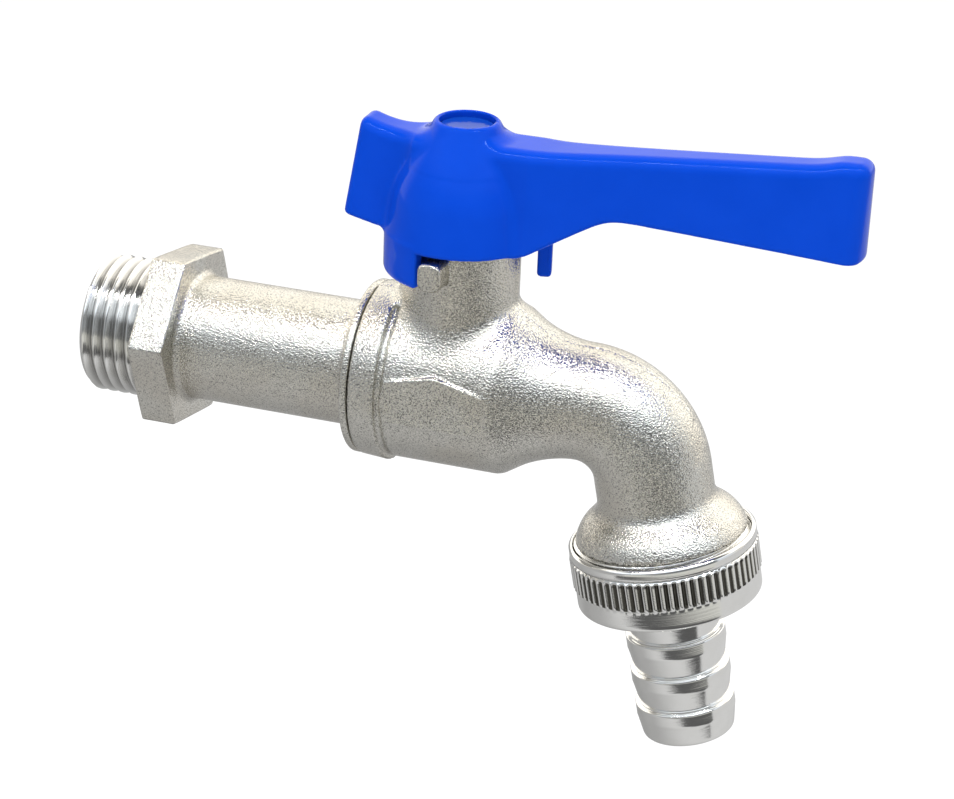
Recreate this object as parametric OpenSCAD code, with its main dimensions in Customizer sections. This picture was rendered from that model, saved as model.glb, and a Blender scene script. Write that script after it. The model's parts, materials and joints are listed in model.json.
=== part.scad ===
/* [Inlet tail] */
// Outside diameter of the inlet pipe thread
inlet_thread_d = 20.955; // [20:0.005:22]
// Length of the inlet thread, from its end to the hexagon
inlet_thread_l = 9.8; // [8:0.1:14]
// Hexagon of the tail, across its flats
hex_af = 24; // [23.5:0.5:27]
// Thickness of the hexagon
hex_t = 5.1; // [4:0.1:7]
// Turn of the hexagon about the pipe axis
hex_turn = 20; // [0:1:30]
// Outside diameter of the tail tube
tail_d = 18.8; // [18.4:0.1:20]
// Length of the tail from the wall side of the hexagon to its joint with the body
tail_l = 34.3; // [33:0.1:44]
// Bore of the tail at the wall end
inlet_bore_d = 12.4; // [11:0.1:13]

/* [Body] */
// Outside diameter of the collar at the tail joint
collar_d = 25.6; // [25:0.1:28]
// Length of the collar
collar_l = 3.2; // [2:0.1:3.6]
// Ball chamber, across its flats
chamber_af = 24.6; // [24:0.1:26]
// Distance from the tail joint to the stem axis
stem_from_joint = 12.7; // [12.6:0.1:14]
// Length of the chamber past the stem axis
chamber_past_stem = 9; // [8.8:0.1:12]
// Length of the taper from the chamber to the spout
chamber_taper_l = 6.4; // [5:0.1:8]
// Diameter of the neck round the stem
neck_d = 17.1; // [16.4:0.1:17.6]
// Height of the neck's top above the pipe axis
neck_h = 24.6; // [24:0.1:25.4]

/* [Spout] */
// Outside diameter of the spout
spout_d = 17.4; // [16:0.1:18.4]
// Distance from the stem axis to the start of the bend
bend_from_stem = 19.6; // [17:0.1:26]
// Radius of the bend's centre line
bend_r = 11; // [10:0.5:16]
// Lean of the outlet away from straight down
outlet_lean = 11.5; // [0:0.5:20]
// Straight length between the bend and the face of the outlet's shoulder
spout_drop = 10; // [9:0.5:20]
// Bore of the spout
spout_bore_d = 11; // [9:0.1:12]

/* [Hose union] */
// Outside diameter of the outlet pipe thread
outlet_thread_d = 26.44; // [26.2:0.005:26.8]
// Length of the outlet thread
outlet_thread_l = 4.4; // [4:0.1:6]
// Outside diameter of the union nut
nut_d = 28.4; // [28.2:0.1:34]
// Height of the union nut
nut_h = 9.8; // [9:0.1:12]
// Number of teeth of the nut's knurl
knurl_n = 68; // [48:1:90]
// Diameter over the barbs of the hose tail
barb_d = 14.9; // [14:0.1:16]
// Number of barbs
barb_n = 3; // [2:1:5]
// Distance from one barb to the next
barb_pitch = 5.6; // [4.5:0.1:7]
// Bore of the hose tail
hose_bore_d = 10.4; // [8:0.1:10.8]

/* [Valve] */
// Diameter of the ball
ball_d = 17; // [16.8:0.1:17.2]
// Bore through the ball
ball_bore_d = 9.6; // [8:0.1:10]
// Diameter of the stem in the neck
stem_d = 8; // [7.4:0.1:8.4]
// Square on the stem that turns the lever, across its flats
stem_square = 6; // [5.4:0.1:6.2]
// Outside diameter of the sliding seat carrier
carrier_d = 15.4; // [15.2:0.1:15.8]
// Length of the sliding seat carrier
carrier_l = 15; // [12:0.1:16]
// Wire of the relief spring
spring_wire = 1; // [0.8:0.1:1.1]
// Number of curls of the relief spring
spring_n = 6; // [5:1:7]

/* [Lever] */
// Length of the lever from the stem axis to its far end
lever_reach = 58.3; // [54:0.1:90]
// Length of the lever's short wing on the other side
wing_reach = 17; // [16:0.1:24]
// Height of the lever's top above the pipe axis, at its hub hole
hub_top = 40.1; // [39.8:0.1:42]
// Height of the hub's lower rim above the pipe axis
hub_bottom = 22.9; // [22.5:0.1:23.5]
// Diameter of the hub at its lower rim
hub_d = 23; // [22.6:0.1:26]
// Diameter of the hole in the hub's top
hub_hole_d = 8; // [7.8:0.1:8.4]
// Thickness of the lever's arm at its top
arm_t = 6.8; // [6.4:0.1:9]
// Draft of the lever's flanks, which spread downwards
lever_draft = 6; // [2:0.5:8]
// Wall of the lever's hollow underside
lever_wall = 1.8; // [1.6:0.1:2.2]
// Depth of the stop tabs below the hub's rim
tab_drop = 5.1; // [4.5:0.1:6]
// Width of the stop lug on the neck
lug_w = 3.5; // [3:0.1:4]

/* [Hidden] */
$fn = 64;
// Overrun of every cut past the face that it goes through
over = 0.5;
// Radial clearance of parts that screw or slide into each other
fit = 0.05;
// Gap between parts that pass each other freely
gap = 0.3;
// Gap of a soft seal that slides on metal
seal_gap = 0.02;

// Stations along the pipe, from the wall side of the hexagon
stem_x = tail_l + stem_from_joint;
collar_end_x = tail_l + collar_l;
chamber_end_x = stem_x + chamber_past_stem;
taper_end_x = chamber_end_x + chamber_taper_l;
bend_x = stem_x + bend_from_stem;

// Inlet tail
thread_chamfer = 0.7;
hex_round = 1.1;
hex_fillet_r = 2.2;
shoulder_t = 1.6;
shoulder_fillet_r = 1.7;
shoulder_edge_r = 0.6;
joint_thread_d = 20.8;
joint_thread_l = 5.9;
joint_gasket_t = 1;
joint_end_x = tail_l + joint_thread_l;
cavity_x = joint_end_x + joint_gasket_t;
carrier_bore_d = carrier_d + 2 * fit;
spring_seat_x = hex_t + shoulder_t + over;

// The straight stretches of the spout reach into its bend by this lap and are thinner by this step
bend_lap = 0.5;
bend_step = 0.06;

// Ball chamber and seats
collar_step_l = 1.5;
chamber_soft = 1.2;
pad_t = 3.2;
pad_proud = 0.15;
pad_peak = 2.1;
pad_inset = 1.4;
pad_low = 1.4;
pad_left_x = collar_end_x + collar_step_l - stem_x;
cavity_d = ball_d + 2 * gap;
carrier_wall = 0.8;
seat_od = carrier_d - 2 * carrier_wall;
seat_id = ball_bore_d + gap;
seat_back_l = 2;
seat_lip_l = 1.1;
seat_touch_share = 0.72;
seat_touch_x = ball_d / 2 * sqrt(1 - seat_touch_share * seat_touch_share);
seat_low_x = seat_touch_x - seat_lip_l;
seat_high_x = seat_touch_x + seat_back_l;
cavity_end = sqrt(pow(cavity_d / 2, 2) - pow(seat_od / 2 + fit, 2));

// Seat carrier and its spring, whose front rests against the ball through the inlet seat
carrier_nose_l = 1.6;
carrier_front_x = stem_x - seat_high_x + carrier_nose_l;
carrier_back_x = carrier_front_x - carrier_l;
carrier_groove_share = 0.3;
carrier_groove_x = carrier_back_x + carrier_l * carrier_groove_share;
o_ring_wire = 1.5;
groove_w = 1.9;
spring_mean_d = carrier_d - spring_wire - 2 * gap;
spring_low_x = spring_seat_x + spring_wire / 2;
spring_high_x = carrier_back_x - spring_wire / 2;
spring_rings = 8;
spring_sides = 6;

// Stem
flange_d = 11;
flange_t = 1.8;
flange_drop = 1.1;
flange_low_z = cavity_d / 2 + flange_drop;
flange_top_z = flange_low_z + flange_t;
thrust_washer_t = 0.8;
thrust_top_z = flange_top_z + thrust_washer_t;
tang_w = 3.4;
tang_l = 7.4;
tang_depth = 2.2;
neck_bore_d = stem_d + 2 * fit;
groove_floor_d = neck_bore_d - 2 * seal_gap - 2 * o_ring_wire;
groove_step = 4.4;
lower_groove_z = thrust_top_z + groove_step / 2;
upper_groove_z = lower_groove_z + groove_step;
square_low_z = neck_h + gap;
stem_top_drop = 4.9;
stem_top_z = hub_top - stem_top_drop;

// Lever hub, its screw and its cap
web_z = neck_h + lever_wall;
screw_floor_z = stem_top_z + gap;
screw_d = 4;
screw_l = 9;
screw_head_d = 7.2;
screw_head_t = 1.9;
drive_d = 2.6;
drive_depth = 1.1;
lock_washer_t = 0.7;
screw_head_z = screw_floor_z + lock_washer_t;
cap_t = 1.1;
cap_z = screw_head_z + screw_head_t + gap / 2;
hub_wall = 1.9;
hub_hollow_d = hub_d - 2 * hub_wall;

// Lever outline, as heights above the pipe axis and distances from the stem axis
wing_top = 39.8;
saddle_top = 38.1;
arm_end_top = 42.3;
wing_low = 25.1;
arm_end_low = 28.2;
arm_waist_low = 29.7;
arm_waist_x = 24.5;
arm_root_x = 10.4;
saddle_x = 8.5;
saddle_far_x = 14;
lever_edge_r = 1.6;
wing_lean = 1.2;
end_bulge = 0.9;
root_half = 5.4;
wing_narrower = 0.4;
hub_shoulder_drop = 6;
hub_shoulder_r = 4.6;
hub_boss_d = 10.6;
hub_boss_edge_r = 0.35;
hub_draft = 1.3;

// Stops, with angles seen from above, counted from the spout's side
lug_angle = 265;
lug_r = 12.2;
lug_h = 4;
lug_edge = 0.6;
tab_low_z = hub_bottom - tab_drop;
lug_low_z = tab_low_z + gap;
tab_a_in = hub_hollow_d / 2;
tab_a_span = 62;
tab_b_r = 12;
tab_b_t = 2.1;
tab_b_w = 2.2;
tab_foot_r = 0.7;
stop_r = (lug_r + neck_d / 2) / 2;
stop_half_angle = asin((lug_w / 2 + gap) / stop_r);
tab_a_edge = lug_angle - stop_half_angle;
tab_b_angle = lug_angle + stop_half_angle + asin(tab_b_w / 2 / stop_r) - 270;

// Outlet, measured down from the shoulder's face
shoulder_h = 3.6;
shoulder_rise_share = 0.72;
gasket_t = 1.2;
hose_flange_t = 1.3;
hose_flange_d = outlet_thread_d - 3;
flange_from = outlet_thread_l + gasket_t;
flange_to = flange_from + hose_flange_t;
nut_gap = 0.25;
nut_rim = 0.8;
nut_lip_d = barb_d + 2 * gap;
nut_band_h = 1.7;
nut_knurl_h = 4.6;
nut_low_step = 0.45;
nut_edge_r = 0.4;
knurl_depth = 0.4;
knurl_land_share = 0.45;
barb_drop = 0.85;
barb_land = 2;
barb_rise = 0.8;
first_barb = 16.5;
tip_l = 2.8;
tip_round = 0.8;

bend_end_x = bend_x + bend_r * cos(outlet_lean);
bend_end_z = -bend_r + bend_r * sin(outlet_lean);
outlet_x = bend_end_x + spout_drop * sin(outlet_lean);
outlet_z = bend_end_z - spout_drop * cos(outlet_lean);

// Points of an arc about c, from angle a to angle b
function arc(c, r, a, b, n = 6) =
    [for (i = [0:n]) [c[0] + r * cos(a + (b - a) * i / n), c[1] + r * sin(a + (b - a) * i / n)]];

// Turns a profile of (distance, radius) points round the pipe axis
module along_pipe(points) {
    rotate([90, 0, 90]) rotate_extrude() polygon([for (p = points) [p[1], p[0]]]);
}

// A plain cylinder along the pipe axis
module pipe(d, from_x, to_x) {
    translate([from_x, 0, 0]) rotate([0, 90, 0]) cylinder(d = d, h = to_x - from_x);
}

// Puts the children on the stem axis
module at_stem() {
    translate([stem_x, 0, 0]) children();
}

// Puts the children in the frame of the outlet, where the water leaves along minus Z
module at_outlet() {
    translate([outlet_x, 0, outlet_z]) rotate([0, -outlet_lean, 0]) children();
}

// A flat ring standing on z
module ring(od, id, z, h) {
    translate([0, 0, z]) difference() {
        cylinder(d = od, h = h);
        translate([0, 0, -over]) cylinder(d = id, h = h + 2 * over);
    }
}

module inlet_tail() {
    thread_r = inlet_thread_d / 2;
    tube_r = tail_d / 2;
    collar_r = collar_d / 2;
    shoulder_x = tail_l - shoulder_t;
    joint_r = joint_thread_d / 2;
    hex_r = hex_af / 2 / cos(30);
    color("silver") difference() {
        union() {
            along_pipe([[-inlet_thread_l, 0], [-inlet_thread_l, thread_r - thread_chamfer],
                [thread_chamfer - inlet_thread_l, thread_r], [hex_t / 2, thread_r],
                [hex_t / 2, 0]]);
            intersection() {
                rotate([hex_turn, 0, 0]) rotate([0, 90, 0]) cylinder(r = hex_r, h = hex_t, $fn = 6);
                along_pipe([[0, 0], [0, hex_r - hex_round], [hex_round, hex_r],
                    [hex_t - hex_round, hex_r], [hex_t, hex_r - hex_round], [hex_t, 0]]);
            }
            along_pipe(concat([[hex_t / 2, 0]],
                [[hex_t / 2, tube_r + hex_fillet_r]],
                arc([hex_t + hex_fillet_r, tube_r + hex_fillet_r], hex_fillet_r, 180, 270),
                arc([shoulder_x - shoulder_fillet_r, tube_r + shoulder_fillet_r],
                    shoulder_fillet_r, 270, 360),
                arc([shoulder_x + shoulder_edge_r, collar_r - shoulder_edge_r],
                    shoulder_edge_r, 180, 90),
                [[tail_l, collar_r], [tail_l, joint_r], [joint_end_x - thread_chamfer, joint_r],
                 [joint_end_x, joint_r - thread_chamfer], [joint_end_x, 0]]));
        }
        pipe(inlet_bore_d, -inlet_thread_l - over, spring_seat_x + over);
        pipe(carrier_bore_d, spring_seat_x, joint_end_x + over);
    }
}

module joint_gasket() {
    color("ivory") difference() {
        pipe(joint_thread_d, joint_end_x, cavity_x);
        pipe(cavity_d, tail_l, cavity_x + over);
    }
}

// The block on the neck that the lever's tabs stop against
module stop_lug() {
    rotate([0, 0, lug_angle]) translate([0, -lug_w / 2, lug_low_z]) {
        cube([lug_r - lug_edge, lug_w, lug_h]);
        translate([0, lug_edge, lug_edge]) cube([lug_r, lug_w - 2 * lug_edge, lug_h - 2 * lug_edge]);
    }
}

// The bell over the outlet thread
module outlet_bell() {
    bell_r = outlet_thread_d / 2;
    spout_r = spout_d / 2;
    edge_r = shoulder_edge_r;
    root_r = shoulder_h / 2;
    rise = shoulder_h * shoulder_rise_share;
    rotate_extrude() polygon(concat([[0, 0], [bell_r, 0]],
        arc([bell_r - edge_r, edge_r], edge_r, 0, 60),
        [[(bell_r + spout_r) / 2, rise]],
        arc([spout_r + root_r, shoulder_h + root_r], root_r, 250, 180),
        [[0, shoulder_h + root_r]]));
}

// The bend of the spout, as a round bar of the given diameter
module spout_bend(d) {
    translate([bend_x, 0, -bend_r]) rotate([90, 0, 0]) rotate([0, 0, outlet_lean])
        rotate_extrude(angle = 90 - outlet_lean) translate([bend_r, 0]) circle(d = d);
}

// The octagonal ball chamber with its corners turned off and its end tapered
module chamber() {
    chamber_x = collar_end_x + collar_step_l;
    round_r = chamber_af / 2 + chamber_soft / 2;
    intersection() {
        translate([tail_l + collar_l / 2, 0, 0]) rotate([0, 90, 0]) rotate([0, 0, 180 / 8])
            cylinder(d = chamber_af / cos(180 / 8), h = taper_end_x - tail_l, $fn = 8);
        along_pipe([[tail_l, 0], [tail_l, chamber_af / 2], [chamber_x, round_r],
            [chamber_end_x, round_r], [taper_end_x, spout_d / 2], [taper_end_x, 0]]);
    }
}

// The flat pad cast on the chamber's front, with a low peak over the flat's upper edge
module front_pad() {
    edge_z = chamber_af / 2 * tan(180 / 8);
    right_x = chamber_past_stem - pad_inset;
    translate([stem_x, pad_t - chamber_af / 2 - pad_proud, 0]) rotate([90, 0, 0]) linear_extrude(pad_t)
        polygon([[pad_left_x, -pad_low], [pad_left_x, edge_z], [-pad_inset, edge_z + pad_peak],
            [right_x, edge_z], [right_x, pad_inset / 2], [right_x - pad_t, -pad_low]]);
}

module body() {
    collar_r = collar_d / 2;
    edge_r = shoulder_edge_r;
    color("silver") difference() {
        union() {
            along_pipe(concat([[tail_l, 0]],
                arc([tail_l + edge_r, collar_r - edge_r], edge_r, 180, 90),
                arc([collar_end_x - edge_r, collar_r - edge_r], edge_r, 90, 30),
                [[collar_end_x + collar_step_l, chamber_af / 2], [collar_end_x + collar_step_l, 0]]));
            chamber();
            front_pad();
            pipe(spout_d - bend_step, stem_x, bend_x + bend_lap);
            spout_bend(spout_d);
            at_stem() {
                cylinder(d = neck_d, h = neck_h);
                stop_lug();
            }
            at_outlet() {
                cylinder(d = spout_d - bend_step, h = spout_drop + bend_lap);
                outlet_bell();
                translate([0, 0, -outlet_thread_l])
                    cylinder(d = outlet_thread_d, h = outlet_thread_l + bend_lap);
            }
        }
        pipe(joint_thread_d + 2 * fit, tail_l - over, cavity_x);
        pipe(cavity_d, tail_l, stem_x + cavity_end);
        pipe(seat_od + 2 * fit, stem_x, stem_x + seat_high_x);
        pipe(spout_bore_d - bend_step, stem_x, bend_x + bend_lap);
        spout_bend(spout_bore_d);
        at_outlet() translate([0, 0, -outlet_thread_l - over])
            cylinder(d = spout_bore_d - bend_step, h = spout_drop + outlet_thread_l + over + bend_lap);
        at_stem() {
            cylinder(d = flange_d + 2 * fit, h = thrust_top_z);
            cylinder(d = neck_bore_d, h = neck_h + over);
        }
    }
}

module ball() {
    color("gainsboro") difference() {
        translate([stem_x, 0, 0]) sphere(d = ball_d);
        pipe(ball_bore_d, stem_x - ball_d, stem_x + ball_d);
        translate([stem_x - ball_d / 2, -tang_w / 2 - fit, ball_d / 2 - tang_depth - fit])
            cube([ball_d, tang_w + 2 * fit, ball_d]);
    }
}

// A seat ring on the outlet side, hollowed to the ball
module seat() {
    color("white") difference() {
        pipe(seat_od, stem_x + seat_low_x, stem_x + seat_high_x);
        pipe(seat_id, stem_x, stem_x + ball_d);
        translate([stem_x, 0, 0]) sphere(d = ball_d + 2 * seal_gap);
    }
}

module seat_outlet() {
    seat();
}

module seat_inlet() {
    at_stem() mirror([1, 0, 0]) translate([-stem_x, 0, 0]) seat();
}

module seat_carrier() {
    groove_d = carrier_bore_d - 2 * seal_gap - 2 * o_ring_wire;
    color("goldenrod") difference() {
        pipe(carrier_d, carrier_back_x, carrier_front_x);
        pipe(seat_id, carrier_back_x - over, carrier_front_x + over);
        pipe(seat_od + 2 * fit, stem_x - seat_high_x, carrier_front_x + over);
        difference() {
            pipe(carrier_d + over, carrier_groove_x - groove_w / 2, carrier_groove_x + groove_w / 2);
            pipe(groove_d, carrier_back_x, carrier_front_x);
        }
    }
}

module carrier_o_ring() {
    mean_r = carrier_bore_d / 2 - seal_gap - o_ring_wire / 2;
    color("dimgray") translate([carrier_groove_x, 0, 0]) rotate([0, 90, 0])
        rotate_extrude() translate([mean_r, 0]) circle(d = o_ring_wire);
}

// Points of the spring's centre line and of the rings of wire round it
function spring_at(t) = let (a = 360 * t * spring_n)
    [spring_low_x + (spring_high_x - spring_low_x) * t,
     spring_mean_d / 2 * cos(a), spring_mean_d / 2 * sin(a)];
function spring_ring(t) = let (a = 360 * t * spring_n, c = spring_at(t))
    [for (k = [0:spring_sides - 1]) let (b = 360 * k / spring_sides, w = spring_wire / 2)
        c + w * [cos(b), sin(b) * cos(a), sin(b) * sin(a)]];

module relief_spring() {
    n = spring_rings * spring_n;
    s = spring_sides;
    points = [for (i = [0:n]) each spring_ring(i / n)];
    sides = [for (i = [0:n - 1], k = [0:s - 1]) let (a = i * s + k, b = i * s + (k + 1) % s)
        each [[a, b, b + s], [a, b + s, a + s]]];
    ends = [for (k = [1:s - 2]) each [[0, k + 1, k], [n * s, n * s + k, n * s + k + 1]]];
    echo(least_gap_between_curls = min([for (i = [0:n - spring_rings], j = [i + spring_rings / 2:n])
        for (k = [0:s - 1], m = [0:s - 1]) norm(points[i * s + k] - points[j * s + m])]));
    color("lightsteelblue") polyhedron(points, concat(sides, ends));
}

module stem() {
    color("goldenrod") at_stem() difference() {
        union() {
            intersection() {
                translate([-tang_l / 2, -tang_w / 2, ball_d / 2 - tang_depth])
                    cube([tang_l, tang_w, flange_top_z - ball_d / 2 + tang_depth]);
                cylinder(d = flange_d, h = flange_top_z);
            }
            translate([0, 0, flange_low_z]) cylinder(d = flange_d, h = flange_t);
            translate([0, 0, flange_low_z]) cylinder(d = stem_d, h = square_low_z - flange_low_z);
            square_end(0, square_low_z - over, stem_top_z);
        }
        for (z = [lower_groove_z, upper_groove_z])
            ring(stem_d + over, groove_floor_d, z - groove_w / 2, groove_w);
        translate([0, 0, screw_head_z - screw_l - over])
            cylinder(d = screw_d + 2 * fit, h = screw_l + 2 * over);
    }
}

// The stem's square end, wider all round by the given clearance
module square_end(clearance, low_z, high_z) {
    side = stem_square + 2 * clearance;
    translate([0, 0, low_z]) intersection() {
        translate([-side / 2, -side / 2, 0]) cube([side, side, high_z - low_z]);
        cylinder(d = stem_d + 2 * clearance, h = high_z - low_z);
    }
}

module stem_thrust_washer() {
    color("white") at_stem() ring(flange_d, neck_bore_d, flange_top_z, thrust_washer_t);
}

// An O-ring in a groove of the stem
module stem_o_ring(z) {
    color("dimgray") at_stem() translate([0, 0, z]) rotate_extrude()
        translate([groove_floor_d / 2 + o_ring_wire / 2, 0]) circle(d = o_ring_wire);
}

module stem_o_ring_lower() {
    stem_o_ring(lower_groove_z);
}

module stem_o_ring_upper() {
    stem_o_ring(upper_groove_z);
}

// The lever seen from the side: a long arm that swells to its end, and a short wing
function lever_side() = let (r = lever_edge_r) concat(
    arc([r - wing_reach + wing_lean, wing_top - r], r, 180, 80),
    [[-saddle_x, saddle_top], [saddle_far_x, saddle_top]],
    arc([lever_reach - 2 * r, arm_end_top - r], r, 95, 30),
    [[lever_reach, arm_end_low + 2 * r]],
    arc([lever_reach - 2 * r, arm_end_low + r], r, 330, 270),
    [[arm_waist_x, arm_waist_low], [(arm_waist_x + arm_root_x) / 2, (arm_waist_low + hub_bottom) / 2],
     [arm_root_x, hub_bottom], [-arm_root_x, hub_bottom]],
    arc([r - wing_reach, wing_low + r], r, 260, 180));

// One flank of the lever seen from above: it spreads where it meets the hub and has rounded corners,
// and its other side is left wide
function lever_flank() = let (h = arm_t / 2, r = lever_edge_r, wing_half = h - wing_narrower)
    concat([[-wing_reach, -hub_d]], arc([r - wing_reach, wing_half - r], r, 180, 90),
        [[-hub_d / 2, wing_half], [-saddle_x, root_half], [saddle_x, root_half],
         [saddle_far_x, h + gap]],
        arc([lever_reach - end_bulge - r, h - r], r, 90, 10),
        [[lever_reach - end_bulge / 4, h / 2], [lever_reach, 0], [lever_reach, -hub_d]]);

// The space between the lever's two flanks, which lean together towards the top
module between_flanks() {
    intersection_for(side = [0, 1]) mirror([0, side, 0]) translate([0, 0, saddle_top])
        rotate([lever_draft, 0, 0]) linear_extrude(2 * (hub_top - hub_bottom), center = true)
            polygon(lever_flank());
}

// The lever's side outline at its full width
module lever_blank(points) {
    translate([0, hub_d / 2, 0]) rotate([90, 0, 0]) linear_extrude(hub_d) polygon(points);
}

// The hollow under the arm and under the wing, open below, with its walls drafted as the flanks are
module lever_hollow() {
    top = saddle_top - lever_wall;
    far_top = arm_end_top - lever_wall;
    far_x = lever_reach - end_bulge - lever_wall;
    wing_x = lever_wall - wing_reach;
    hub_x = hub_d / 2 + gap;
    low = hub_bottom - over;
    high_half = arm_t / 2 - lever_wall;
    low_half = high_half + (top - low) * tan(lever_draft);
    intersection() {
        rotate([90, 0, 90]) linear_extrude(2 * lever_reach, center = true)
            polygon([[-low_half, low], [low_half, low], [high_half, top], [high_half, hub_top],
                [-high_half, hub_top], [-high_half, top]]);
        union() {
            lever_blank([[saddle_far_x, low], [saddle_far_x, top], [far_x - lever_edge_r, far_top],
                [far_x, far_top - lever_edge_r], [far_x, low]]);
            lever_blank([[wing_x, low], [wing_x, top - lever_wall], [-hub_x, top - lever_wall],
                [-hub_x, low]]);
        }
    }
}

module hub() {
    r = hub_d / 2;
    high_r = r - hub_draft;
    shoulder_z = saddle_top - hub_shoulder_drop;
    boss_r = hub_boss_d / 2;
    boss_top_r = (hub_hole_d + hub_boss_edge_r) / 2 + hub_boss_edge_r;
    rotate_extrude() polygon(concat([[0, hub_bottom], [r, hub_bottom], [high_r, shoulder_z]],
        arc([high_r - hub_shoulder_r, shoulder_z], hub_shoulder_r, 10, 80),
        [[boss_r, saddle_top]],
        arc([boss_top_r - hub_boss_edge_r, hub_top - hub_boss_edge_r], hub_boss_edge_r, 0, 90),
        [[0, hub_top]]));
}

// The tabs that hang from the hub's rim and meet the lug: open and shut
module stop_tabs() {
    tab_foot_z = tab_low_z + tab_foot_r;
    intersection() {
        ring(hub_d, 2 * tab_a_in, tab_low_z, tab_drop + hub_wall);
        rotate([0, 0, tab_a_edge - tab_a_span]) rotate_extrude(angle = tab_a_span)
            translate([0, tab_low_z]) square([hub_d, tab_drop + hub_wall]);
    }
    rotate([0, 0, tab_b_angle]) translate([tab_b_r - tab_b_t / 2, -tab_b_w / 2, tab_foot_z]) {
        cube([tab_b_t, tab_b_w, tab_drop + hub_wall]);
        translate([0, tab_b_w / 2, 0]) rotate([0, 90, 0]) cylinder(r = tab_foot_r, h = tab_b_t);
    }
}

module lever_handle() {
    color("royalblue") at_stem() difference() {
        union() {
            difference() {
                intersection() {
                    lever_blank(lever_side());
                    between_flanks();
                }
                lever_hollow();
            }
            hub();
            stop_tabs();
        }
        translate([0, 0, hub_bottom - over]) cylinder(d = hub_hollow_d, h = web_z - hub_bottom + over);
        square_end(fit, web_z - over, screw_floor_z);
        translate([0, 0, screw_floor_z]) cylinder(d = hub_hole_d, h = hub_top);
    }
}

module handle_lock_washer() {
    color("silver") at_stem() ring(screw_head_d, screw_d + 2 * fit, screw_floor_z, lock_washer_t);
}

module handle_screw() {
    color("silver") at_stem() difference() {
        union() {
            translate([0, 0, screw_head_z]) cylinder(d = screw_head_d, h = screw_head_t);
            translate([0, 0, screw_head_z - screw_l]) cylinder(d = screw_d, h = screw_l);
        }
        translate([0, 0, screw_head_z + screw_head_t - drive_depth])
            cylinder(d = drive_d, h = drive_depth + over, $fn = 6);
    }
}

module handle_cap() {
    color("mediumblue") at_stem() translate([0, 0, cap_z])
        cylinder(d = hub_hole_d - 2 * seal_gap, h = cap_t);
}

module outlet_gasket() {
    color("dimgray") at_outlet() ring(hose_flange_d, spout_bore_d, -flange_from, gasket_t);
}

// Outline of one barb that starts at depth s: a rounded step out, a land and a taper in
function barb(s) = let (high = barb_d / 2, low = barb_d / 2 - barb_drop) [
    [low, -s + barb_rise], [high - barb_rise / 4, -s + barb_rise / 4],
    [high, -s - barb_rise / 4], [high, -s - barb_land]];

module hose_tail() {
    low = barb_d / 2 - barb_drop;
    tip = first_barb + (barb_n - 1) * barb_pitch + barb_land + tip_l;
    tip_r = barb_d / 2 - barb_drop / 2;
    tail_neck_r = barb_d / 2 - gap;
    color("silver") at_outlet() difference() {
        rotate_extrude() polygon(concat(
            [[0, -flange_from], [hose_flange_d / 2, -flange_from], [hose_flange_d / 2, -flange_to],
             [tail_neck_r, -flange_to], [tail_neck_r, -nut_gap - nut_h]],
            [for (i = [0:barb_n - 1]) each barb(first_barb + i * barb_pitch)],
            [[tip_r, -tip + tip_round], [tip_r - tip_round, -tip], [0, -tip]]));
        translate([0, 0, -tip - over]) cylinder(d = hose_bore_d, h = tip + over);
    }
}

// The nut's straight knurl, as a toothed disc
module knurl(h) {
    r = nut_d / 2;
    step = 360 / knurl_n;
    land = step * knurl_land_share / 2;
    linear_extrude(h) polygon([for (i = [0:knurl_n - 1], k = [0:3])
        let (a = i * step + [-land, land, step / 2 - land / 2, step / 2 + land / 2][k],
             q = k < 2 ? r : r - knurl_depth) [q * cos(a), q * sin(a)]]);
}

module union_nut() {
    r = nut_d / 2;
    band = nut_gap + nut_band_h;
    knurl_end = band + nut_knurl_h;
    low = nut_gap + nut_h;
    low_r = r - nut_low_step;
    color("silver") at_outlet() difference() {
        union() {
            rotate_extrude() polygon([[0, -nut_gap], [r - nut_rim, -nut_gap],
                [r - knurl_depth, -nut_gap - nut_rim], [r - knurl_depth / 2, -band],
                [r - knurl_depth, -band], [r - knurl_depth, -knurl_end],
                [low_r, -knurl_end - nut_edge_r], [low_r, -low + nut_edge_r],
                [low_r - nut_edge_r, -low], [0, -low]]);
            translate([0, 0, -knurl_end]) knurl(nut_knurl_h);
        }
        translate([0, 0, -flange_to]) cylinder(d = outlet_thread_d + 2 * fit, h = flange_to);
        translate([0, 0, -low - over]) cylinder(d = nut_lip_d, h = low);
    }
}

inlet_tail();
joint_gasket();
body();
ball();
seat_inlet();
seat_outlet();
seat_carrier();
carrier_o_ring();
relief_spring();
stem();
stem_thrust_washer();
stem_o_ring_lower();
stem_o_ring_upper();
lever_handle();
handle_lock_washer();
handle_screw();
handle_cap();
outlet_gasket();
hose_tail();
union_nut();
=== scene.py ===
import json
from functools import reduce

import bpy
import numpy as np
from mathutils import Matrix, Vector


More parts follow.
